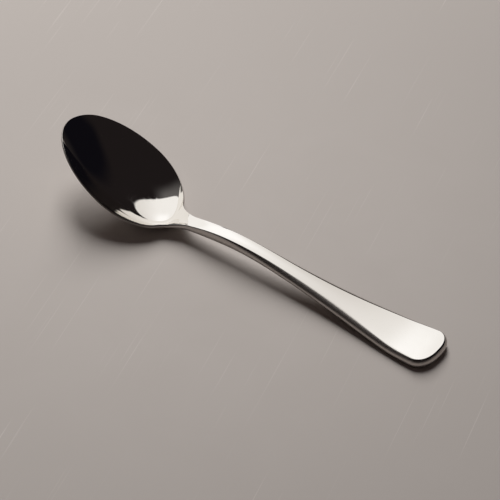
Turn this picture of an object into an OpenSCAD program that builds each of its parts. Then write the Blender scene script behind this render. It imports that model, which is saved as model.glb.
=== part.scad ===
// Teaspoon, pressed from one piece of polished stainless steel.
// It lies as it rests on a table: +X runs from the tip of the bowl to the end
// of the handle, +Z is up, and the lowest points of belly and handle lie on Z = 0.
// The outline is drawn from above, the side view is a straight blank with four
// bends, and the dish of the bowl is sunk below the rim line.

/* [Overall] */
// Length from the tip of the bowl to the end of the handle
overall_length = 137; // [130:0.5:144]

/* [Bowl outline] */
// Width of the bowl over the rim
bowl_width = 30.4; // [28:0.1:32]
// Distance from the tip of the bowl to its widest place
tip_to_widest = 23.2; // [21:0.1:25]
// Distance from the widest place to the rear end of the bowl's oval
widest_to_rear = 18; // [17:0.1:20]
// Exponent of the front arc, where 1 is an ellipse and more is more pointed
tip_power = 1.06; // [0.95:0.01:1.2]
// Angle on the rear arc at which the shoulder leaves the oval
shoulder_angle = 26; // [20:1:32]
// How far the shoulder curve keeps the direction of the bowl
shoulder_pull = 1.8; // [1:0.05:2.4]

/* [Neck and handle outline] */
// Distance from the rear end of the oval to the root of the neck
shoulder_length = 6.5; // [5:0.1:8]
// How far the shoulder curve keeps the direction of the neck
root_pull = 2.9; // [2:0.1:3.6]
// Width at the root of the neck
root_width = 5.2; // [4.8:0.1:6]
// Distance from the root of the neck to its narrowest place
root_to_waist = 11.6; // [9:0.1:15]
// Width of the neck at its narrowest place
waist_width = 4.7; // [4:0.05:5.4]
// Width of the flared end of the handle
end_width = 16.1; // [14:0.1:18]
// Length of the rounded cap at the end of the handle
end_cap = 5; // [4:0.1:7]
// Exponent of the end cap, where 1 is an ellipse and less is blunter
end_power = 0.82; // [0.6:0.01:1]
// How late the handle flares out, where more is later
flare_power = 2.37; // [1.8:0.01:3]
// Share of the flare that spreads evenly over the whole handle
early_flare_share = 0.33; // [0:0.01:0.6]

/* [Side view] */
// Fall of the rim right at the tip of the bowl, in degrees
tip_angle = 12.34; // [8:0.01:18]
// Length of the tip bend, which starts at the tip
tip_bend = 6; // [4:0.5:10]
// Further fall of the rim after the tip bend, in degrees
tip_turn_angle = 14.6; // [10:0.1:18]
// Distance from the start of the heel bend to the rear end of the oval
heel_lead = 4.1; // [3:0.1:6]
// Length of the heel bend
heel_bend = 5.5; // [4:0.1:8]
// Rise that the heel bend adds, in degrees
heel_turn_angle = 37.7; // [34:0.1:40]
// Distance from the start of the long bend over the neck to the rear end of the oval
crest_lead = 8.2; // [6:0.1:11]
// Length of the long bend over the neck
crest_bend = 49.5; // [44:0.5:54]
// Fall that the long bend adds, in degrees
crest_turn_angle = 21.6; // [19:0.1:24]
// Distance from the start of the last bend to the end of the handle
end_lead = 18.4; // [16:0.1:21]
// Length of the last bend
end_bend = 9.65; // [7:0.05:12]
// Rise that the last bend adds, in degrees
end_turn_angle = 7.75; // [5:0.05:9]
// How much the face rises while the neck takes on its full thickness
neck_rise = 0.22; // [0:0.01:0.6]

/* [Bowl dish] */
// Depth of the bowl below its rim at the deepest place
bowl_depth = 7.6; // [6:0.1:8.5]
// Distance from the widest place back to the deepest place
deepest_behind = 0.8; // [-1:0.1:3]
// Distance behind the oval over which the dish runs out into the neck
runout = 6.8; // [4:0.1:8]
// Exponent of the dish towards the tip, where more is fuller
front_power = 2.4; // [2:0.1:3]
// How late the dish rises towards the neck, where more is fuller
rear_power = 1.4; // [1:0.1:1.8]
// Exponent of the dish across the bowl, where more is flatter at the floor
side_power = 2.2; // [2:0.1:3]

/* [Metal] */
// Thickness of the metal at the rim of the bowl
rim_thickness = 1.1; // [0.8:0.05:1.6]
// Thickness of the metal at the root of the neck
neck_thickness = 3.1; // [2.6:0.05:3.6]
// Distance behind the root over which the neck takes on its full thickness
neck_fill = 12.6; // [10:0.1:16]
// Thickness of the metal at the end of the handle
end_thickness = 3.3; // [2.8:0.05:3.8]
// Thickness that the handle has on top of that where it starts to widen
swell_thickness = 0.8; // [0:0.05:1.2]
// How late along the handle the swelling comes, where more is later
swell_power = 1.6; // [1:0.05:2.2]
// Rounding of the edge along the rim of the bowl
rim_round = 0.35; // [0.25:0.05:0.5]
// Rounding of the edge at the root of the neck
neck_round = 0.45; // [0.3:0.05:0.7]
// Rounding of the edge at the end of the handle
end_round = 1.45; // [1:0.05:1.9]
// Distance behind the root over which the rounding grows
round_fill = 42; // [34:1:50]
// Rounding that the edge has on top of that where the handle swells
swell_round = 1.1; // [0.3:0.05:1.3]
// Exponent of the rim's round, where 1 is an ellipse and less is squarer
rim_power = 1; // [0.6:0.01:1]
// The same exponent for the edge of the handle
handle_power = 1; // [0.6:0.01:1]
// Height of the crown across the face of the handle
face_crown = 0.15; // [0:0.05:0.4]

/* [Hidden] */

// Distance ahead of the heel bend over which the metal starts to thicken
thicken_lead = 1.5;
// Numbers of steps along the arcs of the outline
FRONT_COUNT = 16;
REAR_COUNT = 14;
SHOULDER_COUNT = 8;
HANDLE_COUNT = 30;
CAP_COUNT = 10;
// Numbers of steps across a face and round an edge
FACE_COUNT = 12;
EDGE_COUNT = 9;

bowl_half = bowl_width / 2;
root_half = root_width / 2;
waist_half = waist_width / 2;
end_half = end_width / 2;
oval_end = tip_to_widest + widest_to_rear;
heel_at = oval_end - heel_lead;
crest_at = oval_end - crest_lead;
end_bend_at = overall_length - end_lead;
deepest_at = tip_to_widest + deepest_behind;
root_at = oval_end + shoulder_length;
waist_at = root_at + root_to_waist;
cap_at = overall_length - end_cap;
dish_end = oval_end + runout;

// Soft step from 0 to 1 while x goes from a to b
function step_share(x, a, b) =
    let (t = min(max((x - a) / (b - a), 0), 1)) t * t * (3 - 2 * t);

// Height that a bend adds at x, when it starts at a and is d long
function bend(x, a, d, turn) =
    let (t = min(max((x - a) / d, 0), 1))
    tan(turn) * (d * t * t * t * (1 - t / 2) + max(x - a - d, 0));

// Height of the rim and of the handle's edge, measured from the tip
function rim_height(x) =
    -x * tan(tip_angle)
    - bend(x, 0, tip_bend, tip_turn_angle)
    + bend(x, heel_at, heel_bend, heel_turn_angle)
    - bend(x, crest_at, crest_bend, crest_turn_angle)
    + bend(x, end_bend_at, end_bend, end_turn_angle)
    + neck_rise * step_share(x, root_at, root_at + neck_fill);

// Share of the bowl's depth that the dish has at x on the centre line
function dish_share(x) =
    x < deepest_at
        ? 1 - pow((deepest_at - x) / deepest_at, front_power)
        : (1 + cos(180 * pow(min((x - deepest_at) / (dish_end - deepest_at), 1), rear_power))) / 2;

// Share of the handle's form at x, which is 0 in the bowl and 1 from the neck on
function handle_share(x) =
    step_share(x, heel_at - thicken_lead, root_at);

// Share of the handle's swelling at x, which is 0 at the root and at the cap
function swell_share(x) =
    let (t = min(max((x - root_at) / (cap_at - root_at), 0), 1))
    pow(sin(180 * pow(t, swell_power)), 2);

// Thickness of the metal at x
function metal(x) =
    rim_thickness
    + (neck_thickness - rim_thickness) * step_share(x, heel_at - thicken_lead, root_at + neck_fill)
    + (end_thickness - neck_thickness) * step_share(x, root_at, cap_at)
    + swell_thickness * swell_share(x);

// Rounding of the edge at x
function edge_round(x) =
    rim_round
    + (neck_round - rim_round) * handle_share(x)
    + (end_round - neck_round) * step_share(x, root_at, root_at + round_fill)
    + swell_round * swell_share(x);

// Half width of the neck and handle at x
function handle_half(x) =
    let (
        taper = pow(max((waist_at - x) / root_to_waist, 0), 2),
        late = pow((x - root_at) / (cap_at - root_at), flare_power),
        late_share = step_share(late, 0, 1),
        flare_share = late_share + early_flare_share * (step_share(x, root_at, cap_at) - late_share)
    )
    waist_half
    + (root_half - waist_half) * taper
    + (end_half - waist_half) * flare_share;

// Sine or cosine v drawn out towards a square edge, as much as the edge at x is square
function squared(v, x) =
    sign(v) * pow(abs(v), rim_power + (handle_power - rim_power) * handle_share(x));

// Point of a cubic curve with the ends p and s and the handles q and r
function cubic(p, q, r, s, t) =
    pow(1 - t, 3) * p + 3 * t * pow(1 - t, 2) * q + 3 * t * t * (1 - t) * r + pow(t, 3) * s;

// The outline from above, as points [x, half width] from the tip to the end
front_arc = [
    for (i = [0 : FRONT_COUNT])
        let (a = 90 * i / FRONT_COUNT)
        [tip_to_widest * (1 - cos(a)), bowl_half * pow(sin(a), tip_power)]
];
rear_arc = [
    for (i = [1 : REAR_COUNT])
        let (a = 90 - (90 - shoulder_angle) * i / REAR_COUNT)
        [tip_to_widest + widest_to_rear * cos(a), bowl_half * sin(a)]
];
leave_point = rear_arc[REAR_COUNT - 1];
leave_way = [widest_to_rear * sin(shoulder_angle), -bowl_half * cos(shoulder_angle)];
root_point = [root_at, root_half];
root_slope = 2 * (waist_half - root_half) / root_to_waist;
shoulder_curve = [
    for (i = [1 : SHOULDER_COUNT])
        cubic(
            leave_point,
            leave_point + shoulder_pull * leave_way / norm(leave_way),
            root_point - root_pull * [1, root_slope],
            root_point,
            i / SHOULDER_COUNT
        )
];
handle_edge = [
    for (i = [1 : HANDLE_COUNT])
        let (x = root_at + (cap_at - root_at) * i / HANDLE_COUNT)
        [x, handle_half(x)]
];
cap_arc = [
    for (i = [1 : CAP_COUNT])
        let (a = 90 * i / CAP_COUNT)
        [cap_at + end_cap * sin(a), end_half * pow(max(cos(a), 0), end_power)]
];
outline = concat(front_arc, rear_arc, shoulder_curve, handle_edge, cap_arc);
LAST = len(outline) - 1;

// Outward direction of the outline at point i, seen from above
function outward(i) =
    i == 0 ? [-1, 0]
    : i == LAST ? [1, 0]
    : let (way = outline[i + 1] - outline[i - 1]) [-way[1], way[0]] / norm(way);

// Point of the face or back: at = share of the half width, up = 1 face, 0 back
function face_point(i, at, up) =
    let (
        round = edge_round(outline[i][0]),
        x = outline[i][0] - outward(i)[0] * round,
        y = at * max(outline[i][1] - outward(i)[1] * round, 0),
        own = handle_share(outline[i][0]),
        sunk = bowl_depth * dish_share(min(max(x, 0), overall_length)) * (1 - pow(abs(at), side_power)),
        crown = own * (1 - at * at)
    )
    [
        x - overall_length / 2,
        y,
        rim_height(outline[i][0]) - sunk
            + (up == 1 ? face_crown * crown : -metal(outline[i][0]))
    ];

// Point of the rounded edge: side = 1 or -1, turn = 90 on the face to -90 on the back
function edge_point(i, side, turn) =
    let (
        round = edge_round(outline[i][0]),
        half = metal(outline[i][0]) / 2,
        inward = round * (1 - squared(cos(turn), outline[i][0])),
        x = outline[i][0] - outward(i)[0] * inward,
        y = max(outline[i][1] - outward(i)[1] * inward, 0)
    )
    [
        x - overall_length / 2,
        side * y,
        rim_height(outline[i][0]) - half + half * squared(sin(turn), outline[i][0])
    ];

// Shares across the face, closer together towards the edges
face_shares = [for (j = [0 : FACE_COUNT]) sin(-90 + 180 * j / FACE_COUNT)];
// Angles round an edge between face and back
edge_turns = [for (j = [1 : EDGE_COUNT]) 90 - 180 * j / (EDGE_COUNT + 1)];

// One closed ring of points: over the face, round one edge, back and round the other
function ring(i) = concat(
    [for (j = [0 : FACE_COUNT]) face_point(i, face_shares[j], 1)],
    [for (turn = edge_turns) edge_point(i, 1, turn)],
    [for (j = [0 : FACE_COUNT]) face_point(i, -face_shares[j], 0)],
    [for (j = [1 : EDGE_COUNT]) edge_point(i, -1, edge_turns[EDGE_COUNT - j])]
);
ACROSS_COUNT = FACE_COUNT + 1;
RING_COUNT = 2 * (ACROSS_COUNT + EDGE_COUNT);

// Place in the ring that point j falls on when the ring is folded flat at the tip or end
function folded(j) =
    j < ACROSS_COUNT ? 0
    : j < ACROSS_COUNT + EDGE_COUNT ? j
    : j < 2 * ACROSS_COUNT + EDGE_COUNT ? ACROSS_COUNT + EDGE_COUNT
    : 2 * ACROSS_COUNT + EDGE_COUNT - 1 + ACROSS_COUNT + EDGE_COUNT - j;

// Number of point j of ring i in the whole list
function number(i, j) =
    let (k = j % RING_COUNT) i * RING_COUNT + ((i == 0 || i == LAST) ? folded(k) : k);

skin_points = [for (i = [0 : LAST]) each ring(i)];
drop = min([for (p = skin_points) p[2]]);
skin_faces = [
    for (i = [0 : LAST - 1])
        for (j = [0 : RING_COUNT - 1])
            let (
                a = number(i, j),
                b = number(i, j + 1),
                c = number(i + 1, j + 1),
                d = number(i + 1, j)
            )
            for (f = [[a, b, c], [a, c, d]])
                if (f[0] != f[1] && f[1] != f[2] && f[2] != f[0])
                    f
];

module teaspoon() {
    color([0.78, 0.77, 0.75])
        translate([0, 0, -drop])
            polyhedron(points = skin_points, faces = skin_faces, convexity = 6);
}

teaspoon();
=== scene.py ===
"""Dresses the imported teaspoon: a pressed and polished steel spoon on a pale matt table."""

import logging
import math
from dataclasses import dataclass, field
from enum import Enum
from functools import cached_property

import bpy
import numpy as np
from mathutils import Matrix, Vector


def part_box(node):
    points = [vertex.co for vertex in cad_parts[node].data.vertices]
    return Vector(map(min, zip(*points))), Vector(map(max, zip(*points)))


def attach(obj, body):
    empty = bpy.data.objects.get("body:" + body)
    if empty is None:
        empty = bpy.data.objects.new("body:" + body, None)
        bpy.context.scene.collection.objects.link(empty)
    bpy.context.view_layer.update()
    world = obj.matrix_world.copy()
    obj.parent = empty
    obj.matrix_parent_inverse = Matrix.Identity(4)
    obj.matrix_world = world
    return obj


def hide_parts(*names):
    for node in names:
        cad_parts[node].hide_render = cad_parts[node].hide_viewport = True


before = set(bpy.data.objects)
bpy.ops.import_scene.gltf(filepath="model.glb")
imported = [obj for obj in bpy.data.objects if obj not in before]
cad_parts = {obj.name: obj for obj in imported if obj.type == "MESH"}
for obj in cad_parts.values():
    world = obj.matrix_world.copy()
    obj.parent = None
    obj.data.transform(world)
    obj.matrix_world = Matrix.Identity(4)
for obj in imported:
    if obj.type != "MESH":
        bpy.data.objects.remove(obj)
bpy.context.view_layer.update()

NODE = "teaspoon"
BODY = "root"
EDGE_SATIN_AND_SHADE = "edge_finish"
SMOOTH = {"interpolation_type": "SMOOTHSTEP"}
MM = 0.001
LEAST_HALF = 0.000001
BLANK_INSIDE = 0.999999
LOG = logging.getLogger("teaspoon")

Array = np.ndarray
Socket = bpy.types.NodeSocket
Tree = bpy.types.NodeTree
Colour = tuple[float, float, float]
Stretch = tuple[float, float]


class Slot(Enum):
    """Material slots of the record."""

    POLISHED_STEEL = "polished_steel"


class Grain(Enum):
    """Directions that a set of fine scratches can run in, as an angle in degrees from +X."""

    ALONG = 4.0
    ACROSS = 62.0


# Form of the spoon, all sizes in millimetres from the tip of the bowl


def ease(x: Array, start: float, end: float) -> Array:
    """Rises smoothly from 0 at the start to 1 at the end."""
    share = np.clip((x - start) / (end - start), 0.0, 1.0)
    return share * share * (3.0 - 2.0 * share)


def blend(first: Array | float, second: Array | float, share: Array) -> Array:
    """Goes from the first value to the second by a share."""
    return first + (second - first) * share


def signed_power(value: Array, power: float) -> Array:
    """Raises a value between -1 and 1 to a power and keeps its sign."""
    return np.sign(value) * np.abs(value) ** power


@dataclass(frozen=True)
class Bend:
    """A stretch over which the side view turns by an angle.

    Attributes:
        start: Where the turn begins.
        length: How long it is.
        turn: The angle that it adds, in degrees.
    """

    start: float
    length: float
    turn: float

    def rise(self, x: Array) -> Array:
        """Gives the height that the turn adds.

        Args:
            x: Distances from the tip.

        Returns:
            Heights over the line that came in, straight again after the turn.
        """
        share = np.clip((x - self.start) / self.length, 0.0, 1.0)
        after = np.maximum(x - self.start - self.length, 0.0)
        return math.tan(math.radians(self.turn)) * (self.length * share**3 * (1 - share / 2) + after)


@dataclass(frozen=True)
class Run:
    """A size that changes along the spoon.

    Attributes:
        rim, neck, end: The size at these places.
        swell: What the handle's swelling adds.
    """

    rim: float
    neck: float
    end: float
    swell: float

    def at(self, neck: Array, end: Array, swell: Array) -> Array:
        """Gives the size from the shares of the neck, the end and the swelling that are reached."""
        return blend(self.rim, self.neck, neck) + (self.end - self.neck) * end + self.swell * swell


@dataclass(frozen=True)
class Outline:
    """Plan view of the spoon as one edge line, counted 0 to 5 from the tip to the middle of the end.

    Attributes:
        overall_length: Length of the spoon.
        bowl_width, tip_to_widest, widest_to_rear, tip_power: The bowl's oval, more pointed at the tip
            with a power over 1.
        shoulder_angle, shoulder_pull: Angle round the oval, from its rear, where the shoulder leaves it,
            and how far it goes on in that direction.
        shoulder_length, root_pull: Distance from the oval's end to the neck, and how far the shoulder
            already has the neck's direction.
        root_width, root_to_waist, waist_width: The neck, which narrows to its waist.
        end_width, end_cap, end_power: The handle's end, squarer with a power below 1.
        flare_power, early_flare: How late the handle widens, and the share of it that comes early.
        samples: Points of the line.
    """

    overall_length: float = 137.0
    bowl_width: float = 30.4
    tip_to_widest: float = 23.2
    widest_to_rear: float = 18.0
    tip_power: float = 1.06
    shoulder_angle: float = 26.0
    shoulder_pull: float = 1.8
    shoulder_length: float = 6.5
    root_pull: float = 2.9
    root_width: float = 5.2
    root_to_waist: float = 11.6
    waist_width: float = 4.7
    end_width: float = 16.1
    end_cap: float = 5.0
    end_power: float = 0.82
    flare_power: float = 2.37
    early_flare: float = 0.33
    samples: int = 24001

    @property
    def oval_end(self) -> float:
        """Where the bowl's oval would end."""
        return self.tip_to_widest + self.widest_to_rear

    @property
    def root_at(self) -> float:
        """Where the shoulder has become the neck."""
        return self.oval_end + self.shoulder_length

    @property
    def cap_at(self) -> float:
        """Where the round end begins."""
        return self.overall_length - self.end_cap

    def _oval(self, count: Array) -> tuple[Array, Array]:
        """Gives the bowl's oval, from the tip at 0 past the widest place at 1.

        Args:
            count: Places along the edge.

        Returns:
            Distances from the tip and half widths.
        """
        front = np.radians(90.0 * np.clip(count, 0.0, 1.0))
        rear = np.radians(90.0 - (90.0 - self.shoulder_angle) * np.clip(count - 1.0, 0.0, 1.0))
        half = self.bowl_width / 2
        x = np.where(
            count <= 1.0,
            self.tip_to_widest * (1 - np.cos(front)),
            self.tip_to_widest + self.widest_to_rear * np.cos(rear),
        )
        return x, np.where(count <= 1.0, half * np.sin(front) ** self.tip_power, half * np.sin(rear))

    def _shoulder(self, count: Array) -> tuple[Array, Array]:
        """Gives the curve that leads from the oval into the neck.

        Args:
            count: Places along the edge, of which 2 to 3 are used.

        Returns:
            Distances from the tip and half widths.
        """
        leave = math.radians(self.shoulder_angle)
        rear, half = self.widest_to_rear, self.bowl_width / 2
        first = Vector((self.tip_to_widest + rear * math.cos(leave), half * math.sin(leave)))
        way = Vector((rear * math.sin(leave), -half * math.cos(leave))).normalized()
        last = Vector((self.root_at, self.root_width / 2))
        narrowing = (self.waist_width - self.root_width) / self.root_to_waist
        points = (
            first,
            first + self.shoulder_pull * way,
            last - self.root_pull * Vector((1.0, narrowing)),
            last,
        )
        share = np.clip(count - 2.0, 0.0, 1.0)
        weights = ((1 - share) ** 3, 3 * share * (1 - share) ** 2, 3 * share**2 * (1 - share), share**3)
        x = sum(weight * point.x for weight, point in zip(weights, points))
        return x, sum(weight * point.y for weight, point in zip(weights, points))

    def _handle(self, count: Array) -> tuple[Array, Array]:
        """Gives the neck and the handle that widens to its end.

        Args:
            count: Places along the edge, of which 3 to 4 are used.

        Returns:
            Distances from the tip and half widths.
        """
        share = np.clip(count - 3.0, 0.0, 1.0)
        x = blend(self.root_at, self.cap_at, share)
        taper = np.maximum((self.root_at + self.root_to_waist - x) / self.root_to_waist, 0.0) ** 2
        late = ease(share**self.flare_power, 0.0, 1.0)
        flare = blend(late, ease(share, 0.0, 1.0), self.early_flare)
        width = blend(self.waist_width, self.root_width, taper)
        return x, (width + (self.end_width - self.waist_width) * flare) / 2

    def _cap(self, count: Array) -> tuple[Array, Array]:
        """Gives the round end of the handle.

        Args:
            count: Places along the edge, of which 4 to 5 are used.

        Returns:
            Distances from the tip and half widths.
        """
        turn = np.radians(90.0 * np.clip(count - 4.0, 0.0, 1.0))
        half = self.end_width / 2 * np.maximum(np.cos(turn), 0.0) ** self.end_power
        return self.cap_at + self.end_cap * np.sin(turn), half

    @cached_property
    def line(self) -> dict[str, Array]:
        """The edge line in many close points.

        Returns:
            Its counts, distances from the tip, half widths, outward directions and lengths so far.
        """
        count = np.linspace(0.0, 5.0, self.samples)
        parts = (self._oval(count), self._shoulder(count), self._handle(count), self._cap(count))
        places = (count <= 2.0, count <= 3.0, count <= 4.0)
        x = np.select(places, [part[0] for part in parts[:3]], parts[3][0])
        half = np.select(places, [part[1] for part in parts[:3]], parts[3][1])
        half[-1] = 0.0
        step_x, step_half = np.gradient(x), np.gradient(half)
        step_x[0] = step_x[-1] = 0.0
        size = np.hypot(step_x, step_half)
        length = np.concatenate([[0.0], np.cumsum(np.hypot(np.diff(x), np.diff(half)))])
        return {
            "count": count,
            "x": x,
            "half": half,
            "out_x": -step_half / size,
            "out_half": step_x / size,
            "length": length,
        }

    def at(self, count: Array, *names: str) -> tuple[Array, ...]:
        """Reads the named values of the edge line at given counts, one array for each name."""
        return tuple(np.interp(count, self.line["count"], self.line[name]) for name in names)


@dataclass(frozen=True)
class Form:
    """Heights of the spoon's face and back over its plan.

    Attributes:
        outline: The plan view.
        top: Height of the tip of the rim over the table.
        tip_angle: Slope of the side view at the tip, in degrees.
        tip_turn, heel_turn, crest_turn, end_turn: The bends of the side view.
        bowl_depth, deepest_behind, runout: Depth of the dish, how far behind the widest place it lies,
            and how far the dish runs into the neck.
        front_power, rear_power, side_power: How full the dish is, at the tip, at the rear and across.
        thickness, rounding: The metal, and how far the rounding of its edge reaches in.
        neck_rise, neck_fill: Rise of the neck over the bends, and the stretch over which it fills.
        round_fill: Stretch over which the rounding grows along the handle.
        swell_power: Place of the handle's swelling, nearer its end with a power over 1.
        cap_sharpness, cap_stretch: Share of the rounding that is missing round the cap, and where.
        rim_power, handle_power: Form of the edge: 1 is an ellipse and more is more pointed.
        face_crown: How far the handle's face is domed.
        thicken_lead: How far before the heel the metal starts to thicken.
        heel_ease, heel_lift, heel_drop: How far the dish is eased where it climbs into the neck, and the
            middle and reach of the places that are lifted and lowered.
    """

    outline: Outline
    top: float
    tip_angle: float = 12.34
    tip_turn: Bend = Bend(0.0, 6.0, 14.6)
    heel_turn: Bend = Bend(37.1, 5.5, 37.7)
    crest_turn: Bend = Bend(33.0, 49.5, 21.6)
    end_turn: Bend = Bend(118.6, 9.65, 7.75)
    bowl_depth: float = 7.6
    deepest_behind: float = 0.8
    runout: float = 6.8
    front_power: float = 2.4
    rear_power: float = 1.4
    side_power: float = 2.2
    thickness: Run = Run(rim=1.1, neck=3.1, end=3.3, swell=0.8)
    rounding: Run = Run(rim=0.35, neck=0.38, end=1.2, swell=0.94)
    neck_rise: float = 0.22
    neck_fill: float = 12.6
    round_fill: float = 42.0
    swell_power: float = 1.6
    cap_sharpness: float = 0.2
    cap_stretch: Stretch = (127.0, 135.0)
    rim_power: float = 1.7
    handle_power: float = 1.22
    face_crown: float = 0.15
    thicken_lead: float = 1.5
    heel_ease: float = 0.5
    heel_lift: Stretch = (41.0, 2.5)
    heel_drop: Stretch = (47.0, 3.0)

    def rim(self, x: Array) -> Array:
        """Gives the height of the edge of the face in the side view.

        Args:
            x: Distances from the tip.

        Returns:
            Heights over the table.
        """
        fall = x * math.tan(math.radians(self.tip_angle)) + self.tip_turn.rise(x) + self.crest_turn.rise(x)
        root = self.outline.root_at
        fill = self.neck_rise * ease(x, root, root + self.neck_fill)
        return self.top - fall + self.heel_turn.rise(x) + self.end_turn.rise(x) + fill

    def handle_share(self, x: Array) -> Array:
        """Gives how far the thin bowl has become the thick handle."""
        return ease(x, self.heel_turn.start - self.thicken_lead, self.outline.root_at)

    def metal(self, x: Array) -> Array:
        """Gives the thickness: thin in the bowl, thicker at the neck, thickest where the handle swells."""
        full = ease(x, self.heel_turn.start - self.thicken_lead, self.outline.root_at + self.neck_fill)
        return self.thickness.at(full, ease(x, self.outline.root_at, self.outline.cap_at), self.swell(x))

    def swell(self, x: Array) -> Array:
        """Gives the share of the handle's swelling, 0 at the root and at the cap and 1 between them."""
        share = (x - self.outline.root_at) / (self.outline.cap_at - self.outline.root_at)
        return np.sin(math.pi * np.clip(share, 0.0, 1.0) ** self.swell_power) ** 2

    def edge_round(self, x: Array) -> Array:
        """Gives how far the rounding of the edge reaches in.

        Args:
            x: Distances from the tip.

        Returns:
            Widths of the rounding: small round the bowl and neck, large along the handle.
        """
        root = self.outline.root_at
        full = self.rounding.at(self.handle_share(x), ease(x, root, root + self.round_fill), self.swell(x))
        return full * (1.0 - self.cap_sharpness * ease(x, *self.cap_stretch))

    def edge_power(self, x: Array) -> Array:
        """Gives the form of the edge: 1 is an ellipse and more is more pointed."""
        return blend(self.rim_power, self.handle_power, self.handle_share(x))

    @cached_property
    def inner(self) -> tuple[Array, Array]:
        """The line where the rounding of the edge ends.

        Returns:
            Its distances from the tip and half widths.
        """
        line = self.outline.line
        inward = self.edge_round(line["x"])
        x = np.maximum.accumulate(line["x"] - line["out_x"] * inward)
        return x, np.maximum(line["half"] - line["out_half"] * inward, 0.0)

    def across(self, x: Array, y: Array) -> Array:
        """Gives how far out a place lies between the middle line, 0, and the rounded edge, 1."""
        half = np.interp(x, *self.inner)
        return np.clip(np.abs(y) / np.maximum(half, LEAST_HALF), 0.0, 1.0)

    def dish(self, x: Array) -> Array:
        """Gives the share of the bowl's depth along the middle line.

        Args:
            x: Distances from the tip.

        Returns:
            0 at the tip, 1 at the deepest place, and 0 again where the dish has run out into the neck.
        """
        deepest = self.outline.tip_to_widest + self.deepest_behind
        ends = self.outline.oval_end + self.runout
        front = np.clip((deepest - x) / (deepest - self.rounding.rim), 0.0, 1.0) ** self.front_power
        rear = np.clip((x - deepest) / (ends - deepest), 0.0, 1.0) ** self.rear_power
        return np.where(x < deepest, 1.0 - front, (1.0 + np.cos(math.pi * rear)) / 2)

    def hollow(self, x: Array, y: Array) -> Array:
        """Gives how far the face is pressed below the height of its edge.

        Args:
            x: Distances from the tip.
            y: Distances from the middle line.

        Returns:
            Depths: the dish itself, eased where it climbs into the neck.
        """
        places = (self.heel_lift, self.heel_drop)
        lift, drop = (np.exp(-(((x - middle) / reach) ** 2) / 2) for middle, reach in places)
        out = self.across(x, y)
        eased = self.heel_ease * (drop - lift) * (1.0 - out**2)
        return self.bowl_depth * self.dish(x) * (1.0 - out**self.side_power) + eased

    def face(self, x: Array, y: Array) -> Array:
        """Gives the height of the upper side.

        Args:
            x: Distances from the tip.
            y: Distances from the middle line.

        Returns:
            Heights over the table.
        """
        inner_end = self.outline.overall_length - self.rounding.end
        fade = 1.0 - np.clip((x - self.outline.cap_at) / (inner_end - self.outline.cap_at), 0.0, 1.0) ** 2
        crown = self.face_crown * self.handle_share(x) * fade * (1.0 - self.across(x, y) ** 2)
        return self.rim(x) - self.hollow(x, y) + crown

    def back(self, x: Array, y: Array) -> Array:
        """Gives the height of the under side at places in the plan."""
        return self.rim(x) - self.metal(x) - self.hollow(x, y)


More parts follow.
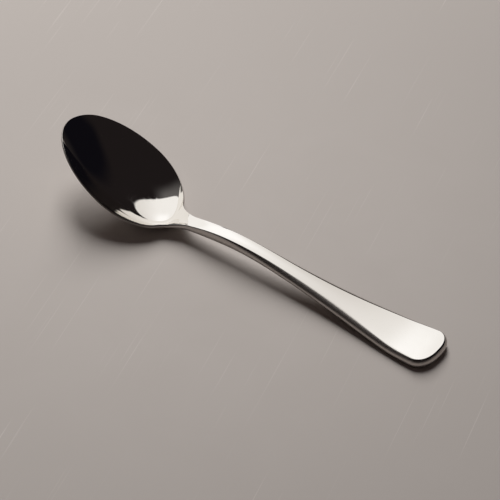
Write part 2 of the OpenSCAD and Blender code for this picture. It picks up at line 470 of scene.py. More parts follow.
@dataclass(frozen=True)
class Press:
    """Turns a flat square blank, -1 to 1 in X and Y and 0 to 1 in Z, into the spoon.

    Attributes:
        form: The heights that the blank is pressed to.
        tip_corner, end_corner: Counts along the edge line that take the blank's front and rear corners.
        bowl_band, handle_band: Width of the band of face inside the rounding that is pressed with the
            wall, in the bowl and on the handle.
        band_change: Where the band changes from the one to the other.
        tip_reach, end_reach: How far in the rows still follow the curve of the tip and of the end.
        edge_from, edge_to: Shares of the wall's height, from the face, where the rounding starts and ends.
        bunch: How closely the rows of the band crowd towards the rounding, 1 for evenly spaced.
        edge_full, edge_none: Turns round the wall, in degrees from its middle, up to which the edge's
        rougher satin finish and its darker painted shade are full, and where they have ended.
    """

    form: Form
    tip_corner: float = 0.556
    end_corner: float = 4.5
    bowl_band: float = 1.75
    handle_band: float = 0.5
    band_change: Stretch = (33.0, 46.0)
    tip_reach: float = 14.0
    end_reach: float = 6.0
    edge_from: float = 0.15
    edge_to: float = 0.85
    bunch: float = 2.5
    edge_full: float = 45.0
    edge_none: float = 80.0

    def _band(self, x: Array) -> Array:
        """Gives the width of the band of face that belongs to the wall."""
        inside = blend(self.bowl_band, self.handle_band, ease(x, *self.band_change))
        return inside + self.form.edge_round(x)

    @cached_property
    def _inset(self) -> tuple[Array, Array]:
        """The edge line moved in by the band.

        Returns:
            Its distances from the tip and half widths.
        """
        line = self.form.outline.line
        band = self._band(line["x"])
        return line["x"] - line["out_x"] * band, line["half"] - line["out_half"] * band

    def _count(self, u: Array, v: Array) -> Array:
        """Gives the place on the edge line that each place on the blank's border goes to.

        Args:
            u: Places along the blank.
            v: Places across it.

        Returns:
            Counts along the edge line, the same for both sides.
        """
        line = self.form.outline.line
        counts, (_, half) = line["count"], self._inset
        from_length, to_length = np.interp((self.tip_corner, self.end_corner), counts, line["length"])
        length = blend(from_length, to_length, (u + 1.0) / 2)
        side = np.interp(length, line["length"], counts)
        tip, end = counts <= self.tip_corner, counts >= self.end_corner
        at_tip = np.interp(np.abs(v) * half[tip][-1], half[tip], counts[tip])
        at_end = np.interp(np.abs(v) * half[end][0], half[end][::-1], counts[end][::-1])
        return np.select([u <= -1.0, u >= 1.0], [at_tip, at_end], side)

    def _inside(self, u: Array, v: Array) -> tuple[Array, Array]:
        """Spreads the blank's flat inside over the plan within the band.

        Args:
            u: Places along the blank.
            v: Places across it.

        Returns:
            Distances from the tip and from the middle line.
        """
        counts, (inset_x, inset_half) = self.form.outline.line["count"], self._inset
        row = self._count(np.clip(u, -BLANK_INSIDE, BLANK_INSIDE), v)
        x, half = np.interp(row, counts, inset_x), np.interp(row, counts, inset_half)
        corners = np.interp((self.tip_corner, self.end_corner), counts, inset_x)
        tip_x = np.interp(self._count(np.full_like(u, -1.0), v), counts, inset_x)
        end_x = np.interp(self._count(np.full_like(u, 1.0), v), counts, inset_x)
        near_tip = np.clip(1.0 - (x - corners[0]) / self.tip_reach, 0.0, 1.0) ** 2
        near_end = np.clip(1.0 - (corners[1] - x) / self.end_reach, 0.0, 1.0) ** 2
        return x + (tip_x - corners[0]) * near_tip + (end_x - corners[1]) * near_end, v * half

    def place(self, blank: Array) -> Array:
        """Presses every point of the blank.

        Args:
            blank: Points of the flat blank, one row each.

        Returns:
            The same points on the spoon, in millimetres from the tip.
        """
        u, v, height = blank.T
        down = 1.0 - height
        form, outline = self.form, self.form.outline
        in_x, in_y = self._inside(u, v)
        edge_x, edge_half, out_x, out_half = outline.at(self._count(u, v), "x", "half", "out_x", "out_half")
        rounding, power = form.edge_round(edge_x), form.edge_power(edge_x)
        turn = math.pi / 2 - math.pi * (down - self.edge_from) / (self.edge_to - self.edge_from)
        on_face, on_back = down < self.edge_from, down > self.edge_to
        share = np.where(on_face, down / self.edge_from, (1.0 - down) / (1.0 - self.edge_to))
        band = self._band(edge_x)
        curl = rounding * (1.0 - signed_power(np.cos(turn), power))
        near = 1.0 - (1.0 - np.clip(share, 0.0, 1.0)) ** self.bunch
        inward = np.where(on_face | on_back, blend(band, rounding, near), curl)
        wall_x = edge_x - out_x * inward
        wall_y = np.where(v < 0.0, -1.0, 1.0) * np.maximum(edge_half - out_half * inward, 0.0)
        wall_y = np.where(v == 0.0, 0.0, wall_y)
        on_wall = (height > 0.0) & (height < 1.0)
        x, y = np.where(on_wall, wall_x, in_x), np.where(on_wall, wall_y, in_y)
        half_metal = form.metal(x) / 2
        wall_z = form.rim(x) - half_metal * (1.0 - signed_power(np.sin(turn), power))
        z = np.select([on_face, on_back], [form.face(x, y), form.back(x, y)], wall_z)
        return np.column_stack([x, y, z])

    def satin_and_shade_share(self, blank: Array) -> Array:
        """Gives how much of the blanked edge's rougher satin finish and darker painted shade each point
        has.

        Args:
            blank: Points of the flat blank, one row each.

        Returns:
            1 round the middle of the wall, falling to 0 where the rounding meets the faces.
        """
        down = 1.0 - blank[:, 2]
        on_wall = (down > 0.0) & (down < 1.0)
        turn = 90.0 - 180.0 * (down - self.edge_from) / (self.edge_to - self.edge_from)
        share = ease(self.edge_none - np.abs(turn), 0.0, self.edge_none - self.edge_full)
        return np.where(on_wall, share, 0.0)


@dataclass
class Teaspoon:
    """The spoon: one blank that is cut, edged and pressed.

    Attributes:
        press: The tool that gives the blank its form.
        name: Name of the piece.
        rows, columns: Squares along the blank and across it.
        wall_cuts: Cuts round the wall of the blank.
        refine: Times that every square is split in four before pressing.
        piece: The spoon itself, once it is built.
    """

    press: Press
    name: str = "spoon"
    rows: int = 150
    columns: int = 24
    wall_cuts: int = 33
    refine: int = 1
    piece: bpy.types.Object | None = field(default=None, init=False)

    def _cut_blank(self) -> bpy.types.Object:
        """Makes the flat blank: a grid, thickened, with cuts round its wall.

        Returns:
            The blank, -1 to 1 in X and Y and 0 to 1 in Z.
        """
        bpy.ops.object.select_all(action="DESELECT")
        bpy.ops.mesh.primitive_grid_add(x_subdivisions=self.rows, y_subdivisions=self.columns, size=2.0)
        blank = bpy.context.object
        bpy.ops.object.mode_set(mode="EDIT")
        bpy.ops.mesh.select_all(action="SELECT")
        bpy.ops.mesh.extrude_region_move(TRANSFORM_OT_translate={"value": (0.0, 0.0, 1.0)})
        bpy.ops.mesh.select_mode(type="EDGE")
        bpy.ops.mesh.select_all(action="DESELECT")
        bpy.ops.object.mode_set(mode="OBJECT")
        points = blank.data.vertices
        for edge in blank.data.edges:
            low, high = (points[index].co.z for index in edge.vertices)
            edge.select = abs(low - high) > 0.5
        bpy.ops.object.mode_set(mode="EDIT")
        bpy.ops.mesh.subdivide(number_cuts=self.wall_cuts)
        bpy.ops.object.mode_set(mode="OBJECT")
        split = blank.modifiers.new("refine", "SUBSURF")
        split.subdivision_type = "SIMPLE"
        split.levels = split.render_levels = self.refine
        bpy.ops.object.modifier_apply(modifier=split.name)
        return blank

    def build(self) -> bpy.types.Object:
        """Cuts the blank, presses it and puts it in the frame.

        Returns:
            The finished piece, riding on the body and standing for the CAD node.
        """
        spoon = self._cut_blank()
        spoon.name = spoon.data.name = self.name
        flat = np.empty(len(spoon.data.vertices) * 3)
        spoon.data.vertices.foreach_get("co", flat)
        blank = np.round(flat.reshape(-1, 3), 6)
        pressed = self.press.place(blank)
        middle = self.press.form.outline.overall_length / 2
        placed = (pressed - np.array([middle, 0.0, 0.0])) * MM
        spoon.data.vertices.foreach_set("co", placed.ravel())
        bpy.ops.object.mode_set(mode="EDIT")
        bpy.ops.mesh.select_all(action="SELECT")
        bpy.ops.mesh.normals_make_consistent(inside=False)
        bpy.ops.object.mode_set(mode="OBJECT")
        bpy.ops.object.shade_smooth()
        # The mask of the edge's rougher satin finish and of its painted shade.
        finish = spoon.data.attributes.new(name=EDGE_SATIN_AND_SHADE, type="FLOAT", domain="POINT")
        finish.data.foreach_set("value", self.press.satin_and_shade_share(blank))
        spoon.data.update()
        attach(spoon, BODY)
        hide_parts(NODE)
        self.piece = spoon
        LOG.info("%s: %d faces", self.name, len(spoon.data.polygons))
        return spoon

    def dress(self, material: bpy.types.Material) -> None:
        """Gives the spoon its finish.

        Args:
            material: The finish as a material.
        """
        self.piece.data.materials.clear()
        self.piece.data.materials.append(material)
        LOG.info("%s: dressed in %s", self.name, material.name)


# Finishes


@dataclass
class Bench:
    """A node tree with short ways to set nodes and join them.

    Attributes:
        tree: The node tree that is worked on.
    """

    tree: Tree

    def node(self, kind: str, label: str, settings: dict | None = None, **values: object) -> bpy.types.Node:
        """Sets a node down.

        Args:
            kind: Its type.
            label: What it is for.
            settings: Settings of the node itself.
            values: Inputs by name, with _ for a space. A socket is joined, anything else is set.

        Returns:
            The node.
        """
        made = self.tree.nodes.new(kind)
        made.label = made.name = label
        for name, setting in (settings or {}).items():
            setattr(made, name, setting)
        for name, value in values.items():
            number = name.removeprefix("in")
            socket = made.inputs[int(number) if number.isdigit() else name.replace("_", " ")]
            self.feed(socket, value)
        return made

    def feed(self, socket: Socket, value: object) -> None:
        """Joins another socket to this one, or sets its value.

        Args:
            socket: The input.
            value: A socket to join, or a value to set.
        """
        if isinstance(value, Socket):
            self.tree.links.new(value, socket)
        else:
            socket.default_value = value

    def math(self, label: str, operation: str, *values: object, clamp: bool = False) -> Socket:
        """Sets a math node down.

        Args:
            label: What it works out.
            operation: The sum that it does.
            values: Sockets or numbers that go in.
            clamp: Whether the answer is kept between 0 and 1.

        Returns:
            The answer's socket.
        """
        settings = {"operation": operation, "use_clamp": clamp}
        made = self.node("ShaderNodeMath", label, settings, **{f"in{i}": v for i, v in enumerate(values)})
        return made.outputs[0]

    def ramp(self, label: str, value: Socket, low: float, high: float) -> Socket:
        """Stretches a value smoothly, so that low becomes 0 and high becomes 1."""
        sizes = {"Value": value, "From_Min": low, "From_Max": high}
        return self.node("ShaderNodeMapRange", label, SMOOTH, **sizes).outputs["Result"]

    def mix(self, label: str, share: Socket, under: Socket | Colour, over: Socket | Colour) -> Socket:
        """Mixes two colours.

        Args:
            label: What the mix is for.
            share: Socket with the share of the second colour.
            under: The first colour.
            over: The second colour.

        Returns:
            The mixed colour's socket.
        """
        made = self.node("ShaderNodeMix", label, {"data_type": "RGBA"}, in0=share)
        for socket, colour in ((made.inputs[6], under), (made.inputs[7], over)):
            self.feed(socket, (*colour, 1.0) if isinstance(colour, tuple) else colour)
        return made.outputs[2]

    def noise(self, label: str, place: Socket, settings: dict | None = None, **sizes: object) -> Socket:
        """Sets a noise down: its values at a place, as a socket."""
        return self.node("ShaderNodeTexNoise", label, settings, Vector=place, **sizes).outputs[0]


def new_group(name: str, inputs: dict[str, float], outputs: tuple[str, ...]) -> tuple[Bench, dict, dict]:
    """Starts a shader node group with named sockets.

    Args:
        name: Name of the group.
        inputs: Number sockets that go in, with their usual values.
        outputs: Number sockets that come out.

    Returns:
        The bench of its tree, its input sockets by name and its output sockets by name.
    """
    tree = bpy.data.node_groups.new(name, "ShaderNodeTree")
    tree.interface.new_socket("Position", in_out="INPUT", socket_type="NodeSocketVector")
    for socket, usual in inputs.items():
        made = tree.interface.new_socket(socket, in_out="INPUT", socket_type="NodeSocketFloat")
        made.default_value = usual
    for socket in outputs:
        tree.interface.new_socket(socket, in_out="OUTPUT", socket_type="NodeSocketFloat")
    bench = Bench(tree)
    into = bench.node("NodeGroupInput", "in").outputs
    out = bench.node("NodeGroupOutput", "out").inputs
    return bench, {s.name: s for s in into if s.name}, {s.name: s for s in out if s.name}


def scratch_group(rarest: float = 0.72, sharpness: float = 9.0) -> Tree:
    """Builds fine straight scratches that run in one direction, broken into short lengths.

    Args:
        rarest: Level of the noise over which it makes a scratch, less the share.
        sharpness: How quickly a scratch then reaches its full strength.

    Returns:
        A group with a mask of the scratches.
    """
    usual = {"Angle": 0.0, "Spacing": 900.0, "Length": 40.0, "Share": 0.2}
    bench, into, out = new_group("fine_scratches", usual, ("Mask",))
    turn = {"Vector": into["Position"], "Angle": into["Angle"]}
    turned = bench.node("ShaderNodeVectorRotate", "turned", {"rotation_type": "Z_AXIS"}, **turn)
    split = bench.node("ShaderNodeSeparateXYZ", "directions", Vector=turned.outputs[0]).outputs
    along = bench.math("along", "MULTIPLY", split["X"], into["Length"])
    over = bench.math("over", "MULTIPLY", split["Y"], into["Spacing"])
    lines = bench.node("ShaderNodeCombineXYZ", "stretched", X=along, Y=over).outputs[0]
    noise = bench.noise("lines", lines, {"noise_dimensions": "2D"}, Scale=1.0, Detail=2.0)
    limit = bench.math("limit", "SUBTRACT", rarest, into["Share"])
    over_limit = bench.math("over the limit", "SUBTRACT", noise, limit)
    bench.feed(out["Mask"], bench.math("sharpen", "MULTIPLY", over_limit, sharpness, clamp=True))
    return bench.tree


def smudge_group(barest: float = 0.85, sharpness: float = 2.5) -> Tree:
    """Builds soft uneven patches, as left by wiping and handling.

    Args:
        barest: Level of the noise over which it makes a patch, less the cover.
        sharpness: How quickly a patch then reaches its full strength.

    Returns:
        A group with a mask of the patches.
    """
    bench, into, out = new_group("soft_smudges", {"Scale": 60.0, "Cover": 0.5}, ("Mask",))
    sizes = {"Scale": into["Scale"], "Detail": 4.0, "Roughness": 0.55, "Distortion": 0.6}
    broad = bench.noise("broad patches", into["Position"], **sizes)
    low = bench.math("cover", "SUBTRACT", barest, into["Cover"])
    lifted = bench.math("over the cover", "SUBTRACT", broad, low)
    bench.feed(out["Mask"], bench.math("soften", "MULTIPLY", lifted, sharpness, clamp=True))
    return bench.tree


def place_group(bench: Bench, tree: Tree, label: str, position: Socket, **values: float) -> Socket:
    """Places a group in a material, with its number inputs, and gives the socket with its mask."""
    made = bench.node("ShaderNodeGroup", label, {"node_tree": tree}, Position=position, **values)
    return made.outputs["Mask"]


def new_material(name: str) -> tuple[bpy.types.Material, Bench, bpy.types.Node, Socket]:
    """Starts a material.

    Args:
        name: Name of the finish.

    Returns:
        The material, the bench of its tree, its shader and the object position.
    """
    made = bpy.data.materials.new(name)
    made.use_nodes = True
    made.node_tree.nodes.clear()
    bench = Bench(made.node_tree)
    shader = bench.node("ShaderNodeBsdfPrincipled", name)
    bench.node("ShaderNodeOutputMaterial", "surface", Surface=shader.outputs[0])
    position = bench.node("ShaderNodeTexCoord", "object position").outputs["Object"]
    return made, bench, shader, position


@dataclass(frozen=True)
class PolishedSteel:
    """Mirror-polished stainless steel with wiping marks, hairline scratches, a faint ripple, and painted
    shade on the handle's face and on the edge.

    Attributes:
        bright, dull, painted_dim_tone, edge: Colour where it is clean and where it is wiped; the painted
            shade that darkens the handle's face, standing in for a dimmer part of the reflected panel; and
            the blanked edge, darkened by painted shade as well.
        painted_dim_from, painted_dim_most, painted_dim_to: Where the painted shade on the handle's face
        starts, is deepest and ends, in metres from the middle.
        edge_roughness, polish, smudge_roughness, scratch_roughness: Roughness of the clean steel, and
            what the edge, wiping marks and hairlines add.
        smudge_scale, smudge_cover: Fineness of the wiping marks and the share that they cover.
        hairlines: Share of hairlines in each direction.
        ripple_size, ripple_height, scratch_depth: Fineness of the ripple, its height and the depth of
            the hairlines in metres.
    """

    bright: Colour = (0.90, 0.88, 0.85)
    dull: Colour = (0.866, 0.844, 0.81)
    painted_dim_tone: Colour = (0.754, 0.726, 0.692)
    painted_dim_from: float = -0.008
    painted_dim_most: float = 0.031
    painted_dim_to: float = 0.058
    edge: Colour = (0.47, 0.435, 0.41)
    edge_roughness: float = 0.3
    polish: float = 0.035
    smudge_roughness: float = 0.03
    scratch_roughness: float = 0.035
    smudge_scale: float = 70.0
    smudge_cover: float = 0.45
    hairlines: tuple[tuple[Grain, float], ...] = ((Grain.ALONG, 0.14), (Grain.ACROSS, 0.09))
    ripple_size: float = 150.0
    ripple_height: float = 0.000004
    scratch_depth: float = 0.0000015

    def material(self, scratches: Tree, smudges: Tree) -> bpy.types.Material:
        """Builds the finish.

        Args:
            scratches: The group of fine scratches.
            smudges: The group of soft smudges.

        Returns:
            The material.
        """
        made, bench, shader, position = new_material("polished_steel")
        marks = {"Scale": self.smudge_scale, "Cover": self.smudge_cover}
        wiped = place_group(bench, smudges, "wiping marks", position, **marks)
        lines = []
        for grain, share in self.hairlines:
            sizes = {"Angle": math.radians(grain.value), "Share": share}
            label = f"hairlines {grain.name.lower()}"
            lines.append(place_group(bench, scratches, label, position, **sizes))
        hairs = bench.math("all hairlines", "MAXIMUM", *lines)
        # Painted shade: the handle's face is darkened between these places along X, standing in for a
        # dimmer part of the reflected panel.
        place = bench.node("ShaderNodeSeparateXYZ", "place along", Vector=position).outputs["X"]
        before = bench.ramp("towards the grip", place, self.painted_dim_from, self.painted_dim_most)
        after = bench.ramp("beyond the grip", place, self.painted_dim_to, self.painted_dim_most)
        painted_shade = bench.math("painted_shade", "MULTIPLY", before, after)
        edge = bench.node("ShaderNodeAttribute", "edge", {"attribute_name": EDGE_SATIN_AND_SHADE}).outputs["Fac"]
        tone = bench.mix("tone", wiped, self.bright, self.dull)
        tone = bench.mix("dimmed tone", painted_shade, tone, self.painted_dim_tone)
        rough = bench.math("wiped roughness", "MULTIPLY_ADD", wiped, self.smudge_roughness, self.polish)
        rough = bench.math("scratched roughness", "MULTIPLY_ADD", hairs, self.scratch_roughness, rough)
        ripple = bench.noise("polishing ripple", position, Scale=self.ripple_size, Detail=1.0)
        bump = bench.node("ShaderNodeBump", "ripple", Height=ripple, Distance=self.ripple_height)
        sizes = {"Height": hairs, "Distance": self.scratch_depth, "Normal": bump.outputs[0]}
        fine = bench.node("ShaderNodeBump", "scratch depth", {"invert": True}, **sizes)
        for socket, value in (
            # Painted shade: the edge's darker tone dims its reflection of the lit table; the roughness
            # added below is the blanked edge's satin finish.
            ("Base Color", bench.mix("edge tone", edge, tone, self.edge)),
            ("Metallic", 1.0),
            ("Roughness", bench.math("roughness", "MULTIPLY_ADD", edge, self.edge_roughness, rough)),
            ("Normal", fine.outputs[0]),
        ):
            bench.feed(shader.inputs[socket], value)
        return made


@dataclass(frozen=True)
class MattTable:
    """Warm grey matt board with a faint mottle, a few old scratches, and painted shade that darkens it away
    from the middle.

    Attributes:
        light, dark, scratched, painted_falloff_tone: Colours of the mottle, of the scratches, and of the
        painted shade further out, which stands in for the light falling off.
        painted_falloff_stretch: Distances from the middle, in metres, between which the tone turns to that
            painted shade.
        mottle_scale, mottle_cover: Fineness of the mottle and the share that it covers.
        scratch_angle, scratch_spacing, scratch_length, scratch_share: Direction of the scratches in
            degrees, how fine and how broken they are, and how many.
        roughness, sheen: How matt the board is, and the strength of its shine.
    """

    light: Colour = (0.47, 0.43, 0.40)
    dark: Colour = (0.455, 0.415, 0.385)
    scratched: Colour = (0.53, 0.49, 0.46)
    mottle_scale: float = 35.0
    mottle_cover: float = 0.5
    scratch_angle: float = 75.0
    scratch_spacing: float = 1400.0
    scratch_length: float = 14.0
    scratch_share: float = 0.0
    roughness: float = 0.9
    sheen: float = 0.2
    painted_falloff_tone: Colour = (0.43, 0.393, 0.365)
    painted_falloff_stretch: Stretch = (0.02, 0.15)

    def material(self, scratches: Tree, smudges: Tree) -> bpy.types.Material:
        """Builds the finish.

        Args:
            scratches: The group of fine scratches.
            smudges: The group of soft smudges.

        Returns:
            The material.
        """
        made, bench, shader, position = new_material("matt_table")
        spots = {"Scale": self.mottle_scale, "Cover": self.mottle_cover}
        mottle = place_group(bench, smudges, "mottle", position, **spots)
        # Painted shade: the board darkens away from the middle, standing in for the light's falloff.
        off = bench.node("ShaderNodeVectorMath", "distance out", {"operation": "LENGTH"}, in0=position)
        out = bench.ramp("towards the painted_falloff", off.outputs["Value"], *self.painted_falloff_stretch)
        sizes = {
            "Angle": math.radians(self.scratch_angle),
            "Spacing": self.scratch_spacing,
            "Length": self.scratch_length,
            "Share": self.scratch_share,
        }
        lines = place_group(bench, scratches, "old scratches", position, **sizes)
        tone = bench.mix("tone", mottle, self.light, self.dark)
        tone = bench.mix("outer tone", out, tone, self.painted_falloff_tone)
        bench.feed(shader.inputs["Base Color"], bench.mix("scratched tone", lines, tone, self.scratched))
        bench.feed(shader.inputs["Roughness"], self.roughness)
        bench.feed(shader.inputs["Specular IOR Level"], self.sheen)
        return made


# Studio


@dataclass(frozen=True)
class Viewpoint:
    """The camera: where it stands as seen from the spoon, and its lens. Sizes in millimetres.

    Attributes:
        turn: Angle in degrees from the spoon's length to the picture's horizontal.
        height_angle: How far the camera looks down, in degrees.
        distance: From the point looked at to the camera.
        aim_right, aim_away: Point looked at, right of the spoon's middle and away from the camera.
        aim_start: Place along the spoon that the other two start from, from its middle.
        roll: Turn of the picture in degrees.
        lens, sensor: Length of the lens and width of the sensor.
        sight: Nearest and furthest distance that it sees, in metres.
    """

    turn: float = 35.692
    height_angle: float = 41.344
    distance: float = 730.29
    aim_right: float = 1.02
    aim_away: float = 6.561
    aim_start: float = -0.5
    roll: float = 0.928
    lens: float = 173.976
    sensor: float = 36.0
    sight: Stretch = (0.01, 50.0)

    @property
    def right(self) -> Vector:
        """Direction of the picture's horizontal on the table."""
        return Vector((math.cos(math.radians(self.turn)), math.sin(math.radians(self.turn)), 0.0))

    @property
    def away(self) -> Vector:
        """Direction on the table that leads away from the camera."""
        return Vector((-self.right.y, self.right.x, 0.0))

    def build(self) -> bpy.types.Object:
        """Sets the camera up.

        Returns:
            The camera, which is the scene's own.
        """
        rise = math.radians(self.height_angle)
        upward = Vector((0.0, 0.0, 1.0))
        aim = Vector((self.aim_start, 0.0, 0.0)) + self.right * self.aim_right + self.away * self.aim_away
        back = -self.away * math.cos(rise) + upward * math.sin(rise)
        up = self.away * math.sin(rise) + upward * math.cos(rise)
        tilt = math.radians(self.roll)
        level_right = self.right * math.cos(tilt) + up * math.sin(tilt)
        level_up = up * math.cos(tilt) - self.right * math.sin(tilt)
        turned = Matrix((level_right, level_up, back)).transposed().to_4x4()
        data = bpy.data.cameras.new("camera")
        data.lens, data.sensor_width = self.lens, self.sensor
        data.clip_start, data.clip_end = self.sight
        camera = bpy.data.objects.new("camera", data)
        bpy.context.scene.collection.objects.link(camera)
        camera.matrix_world = Matrix.Translation((aim + back * self.distance) * MM) @ turned
        bpy.context.scene.camera = camera
        return camera


@dataclass(frozen=True)
class KeyLamp:
    """The long narrow softbox behind the spoon, which lights the matt table and throws the shadow.

    Attributes:
        side_angle, back_angle: How far right of straight up and behind it hangs, seen from the camera,
            in degrees.
        distance, width, length: How far away it is, and its size, in metres.
        turn_away: How far it is turned away to the left, in degrees.
        light: What a white matt table under it would show, where 1 is white.
    """

    side_angle: float = -6.0
    back_angle: float = 36.0
    distance: float = 0.85
    width: float = 0.4
    length: float = 0.85
    turn_away: float = 40.0
    light: float = 1.275

    def build(self, view: Viewpoint) -> bpy.types.Object:
        """Hangs the lamp. Polished metal shows the bright panel of the room in its place.

        Args:
            view: The viewpoint whose directions its place is given in.

        Returns:
            The lamp.
        """
        side, back = math.radians(self.side_angle), math.radians(self.back_angle)
        lean = math.hypot(side, back)
        flat = (view.right * side + view.away * back) / lean
        towards = flat * math.sin(lean) + Vector((0.0, 0.0, math.cos(lean)))
        data = bpy.data.lights.new("key_lamp", "AREA")
        data.shape, data.size, data.size_y = "RECTANGLE", self.width, self.length
        data.energy = self.light * (math.pi * self.distance) ** 2 / math.cos(lean)
        lamp = bpy.data.objects.new("key_lamp", data)
        bpy.context.scene.collection.objects.link(lamp)
        lamp.visible_glossy = False
        across = (view.right - towards * view.right.dot(towards)).normalized()
        axes = Matrix((across, towards.cross(across), towards)).transposed().to_4x4()
        turned = Matrix.Rotation(math.radians(self.turn_away), 4, "Y")
        lamp.matrix_world = Matrix.Translation(towards * self.distance) @ axes @ turned
        return lamp


@dataclass
class Sky(Bench):
    """The bench of the world's tree.

    Attributes:
        view: The viewpoint whose right and away are meant.
    """

    view: Viewpoint

    @cached_property
    def way(self) -> Socket:
        """The direction that is looked in, as a socket."""
        return self.node("ShaderNodeTexCoord", "direction").outputs["Generated"]

    def lead(self, label: str, side: Vector) -> Socket:
        """Works out how far the direction leads to a side."""
        settings = {"operation": "DOT_PRODUCT"}
        return self.node("ShaderNodeVectorMath", label, settings, in0=self.way, in1=side).outputs["Value"]

    def rise(self, label: str) -> Socket:
        """Works out how far the direction leads up."""
        return self.node("ShaderNodeSeparateXYZ", label, Vector=self.way).outputs["Z"]


@dataclass(frozen=True)
class OvalPanel:
    """The bright oval screen that polished metal shows, with the light wall under it behind the table.

    Directions are right, away and up. A slope is how far a direction leads right or away for its rise.

    Attributes:
        centre: Direction of its middle.
        level: Direction of its long side.
        half_long, half_short: Half the angle that it covers along that side and across, in degrees.
        soft: Share of its size over which its border fades.
        wall_left, wall_right: How far left of straight away the wall reaches, in degrees, at its ends.
        halo_reach: Distances from the middle, with the border at 1, over which the halo grows.
        halo_side: How far a direction leads right where the halo starts and is full.
        strip_right: Slope to the right of the middle of the strip where the lamp hangs.
        strip_side: Slopes beside it where the strip has faded and where it is full.
        strip_front, strip_back: Slopes away over which it grows in front and fades behind.
        weak_slope: Slopes to the right over which the panel grows weaker.
        least_ahead, least_rise: Smallest lead towards the middle and smallest rise that are divided by.
        bright, plain, weak, halo: Brightness and colour of the strip, the rest, the right and the halo.
    """

    centre: Colour = (-0.264, 0.551, 0.792)
    level: Colour = (0.965, 0.158, 0.212)
    half_long: float = 45.0
    half_short: float = 35.1
    soft: float = 0.025
    wall_left: float = 65.0
    wall_right: float = -1.0
    halo_reach: Stretch = (2.2, 1.05)
    halo_side: Stretch = (0.15, -0.45)
    strip_right: float = -0.2
    strip_side: Stretch = (0.5, 0.1)
    strip_front: Stretch = (0.5, 1.1)
    strip_back: Stretch = (3.5, 1.8)
    weak_slope: Stretch = (-0.05, 0.65)
    least_ahead: float = 0.001
    least_rise: float = 0.02
    bright: Colour = (1.12, 1.11, 1.10)
    plain: Colour = (0.98, 0.96, 0.935)
    weak: Colour = (0.82, 0.79, 0.755)
    halo: Colour = (0.124, 0.116, 0.112)

    def distance(self, sky: Sky) -> Socket:
        """Works out how far from the panel's middle a direction lies.

        Args:
            sky: Bench of the world's tree.

        Returns:
            A socket that is 0 in the middle, 1 on the border and more beside the panel.
        """
        axes = Matrix((sky.view.right, sky.view.away, Vector((0.0, 0.0, 1.0)))).transposed()
        middle, long_side = (axes @ Vector(side).normalized() for side in (self.centre, self.level))
        long_side = (long_side - middle * long_side.dot(middle)).normalized()
        sides = (("along", long_side, self.half_long), ("across", middle.cross(long_side), self.half_short))
        ahead = sky.math("ahead", "MAXIMUM", sky.lead("panel middle", middle), self.least_ahead)
        shares = []
        for label, side, half in sides:
            share = sky.math(label, "DIVIDE", sky.lead(f"panel {label}", side), ahead)
            scaled = sky.math(f"{label} share", "DIVIDE", share, math.tan(math.radians(half)))
            shares.append(sky.math(f"{label} squared", "MULTIPLY", scaled, scaled))
        return sky.math("distance", "SQRT", sky.math("both", "ADD", *shares))

    def cover(self, sky: Sky) -> tuple[Socket, Socket]:
        """Works out where the panel and the wall are, and where the halo is.

        Args:
            sky: Bench of the world's tree.

        Returns:
            A socket that is 1 on the panel or the wall, and one that grows to 1 in the halo.
        """
        far = self.distance(sky)
        oval = sky.ramp("on the oval", far, 1.0 + self.soft, 1.0 - self.soft)
        borders = []
        for label, angle, turn in (("left", self.wall_left, 1.0), ("right", self.wall_right, -1.0)):
            lean = math.radians(angle)
            side = sky.view.right * (math.cos(lean) * turn) + sky.view.away * math.sin(lean)
            borders.append(sky.ramp(f"{label} end", sky.lead(f"wall {label}", side), -self.soft, self.soft))
        near = sky.ramp("near the panel", far, *self.halo_reach)
        to_left = sky.ramp("halo side", sky.lead("leads right", sky.view.right), *self.halo_side)
        halo = sky.math("halo", "MULTIPLY", sky.math("near twice", "MULTIPLY", near, near), to_left)
        wall = sky.math("on the wall", "MULTIPLY", *borders)
        return sky.math("on the panel", "MAXIMUM", oval, wall), halo

    def shade(self, sky: Sky) -> Socket:
        """Works out the panel's colour: brightest in the strip where the lamp hangs, weakest on the right.

        Args:
            sky: Bench of the world's tree.

        Returns:
            A socket with the colour.
        """
        rise = sky.math("rise above the table", "MAXIMUM", sky.rise("rise"), self.least_rise)
        right = sky.math("slope right", "DIVIDE", sky.lead("right", sky.view.right), rise)
        away = sky.math("slope away", "DIVIDE", sky.lead("away", sky.view.away), rise)
        off = sky.math("off the strip", "SUBTRACT", right, self.strip_right)
        strip = sky.ramp("strip", sky.math("beside the strip", "ABSOLUTE", off), *self.strip_side)
        for label, slopes in (("front", self.strip_front), ("back", self.strip_back)):
            strip = sky.math(f"strip {label}", "MULTIPLY", strip, sky.ramp(label, away, *slopes))
        tone = sky.mix("strip colour", strip, self.plain, self.bright)
        return sky.mix("right colour", sky.ramp("to the right", right, *self.weak_slope), tone, self.weak)


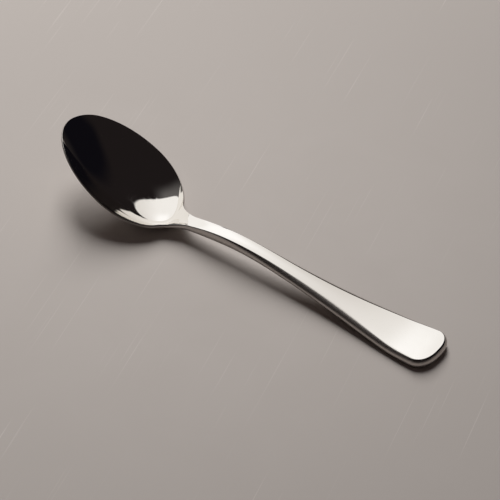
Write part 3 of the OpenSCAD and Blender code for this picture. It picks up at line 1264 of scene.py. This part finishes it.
@dataclass(frozen=True)
class Room:
    """The dim room round the table, the bright panel that polished metal shows, and the table itself.

    Attributes:
        table_size: Side of the table in metres.
        left_dim, right_dim: Colours of the room on the left and right of the picture.
        change: How far a direction leads right where the one turns into the other.
        glow: Colour of the room low down.
        glow_rise: Rise at which that has ended.
        fill: Light of the room on matt surfaces.
        seen: Colour that the camera sees behind the table.
        panel: The bright panel over the table.
    """

    table_size: float = 8.0
    left_dim: Colour = (0.0125, 0.0098, 0.0098)
    right_dim: Colour = (0.004, 0.0036, 0.0053)
    change: Stretch = (0.6, 0.75)
    glow: Colour = (0.016, 0.0135, 0.0135)
    glow_rise: float = 0.25
    fill: Colour = (0.045, 0.034, 0.034)
    seen: Colour = (0.42, 0.38, 0.35)
    panel: OvalPanel = OvalPanel()

    def build_table(self, material: bpy.types.Material) -> bpy.types.Object:
        """Sets the table top under the spoon.

        Args:
            material: Its finish.

        Returns:
            The table, which isn't part of the object.
        """
        bpy.ops.object.select_all(action="DESELECT")
        bpy.ops.mesh.primitive_plane_add(size=self.table_size)
        table = bpy.context.object
        table.name = table.data.name = "table"
        table.data.materials.append(material)
        LOG.info("table: %.0f m wide", self.table_size)
        return table

    def build_surroundings(self, view: Viewpoint) -> None:
        """Makes the room dark, with the panel over it for what polished metal shows.

        Args:
            view: The viewpoint whose right side is meant.
        """
        world = bpy.data.worlds.new("room")
        world.use_nodes = True
        world.node_tree.nodes.clear()
        sky = Sky(world.node_tree, view)
        path = sky.node("ShaderNodeLightPath", "ray").outputs
        on_panel, in_halo = self.panel.cover(sky)
        to_right = sky.ramp("left to right", sky.lead("to the right", view.right), *self.change)
        tone = sky.mix("room", to_right, self.left_dim, self.right_dim)
        low_down = sky.ramp("low down", sky.rise("height"), self.glow_rise, 0.0)
        tone = sky.mix("glow", low_down, tone, self.glow)
        tone = sky.mix("halo", in_halo, tone, self.panel.halo)
        tone = sky.mix("panel", on_panel, tone, self.panel.shade(sky))
        tone = sky.mix("shown by metal", path["Is Glossy Ray"], self.fill, tone)
        tone = sky.mix("behind the table", path["Is Camera Ray"], tone, self.seen)
        back = sky.node("ShaderNodeBackground", "background", Color=tone, Strength=1.0)
        sky.node("ShaderNodeOutputWorld", "world", Surface=back.outputs[0])
        bpy.context.scene.world = world


def main() -> None:
    """Builds the spoon, its finish and the studio."""
    logging.basicConfig(level=logging.INFO, format="%(name)s: %(message)s")
    bpy.context.scene.view_settings.view_transform = "Standard"
    view = Viewpoint()
    view.build()
    form = Form(Outline(), top=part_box(NODE)[1].z / MM)
    scratches, smudges = scratch_group(), smudge_group()
    spoon = Teaspoon(Press(form))
    spoon.build()
    spoon.dress(PolishedSteel().material(scratches, smudges))
    room = Room()
    room.build_table(MattTable().material(scratches, smudges))
    room.build_surroundings(view)
    KeyLamp().build(view)


if __name__ == "__main__":
    main()
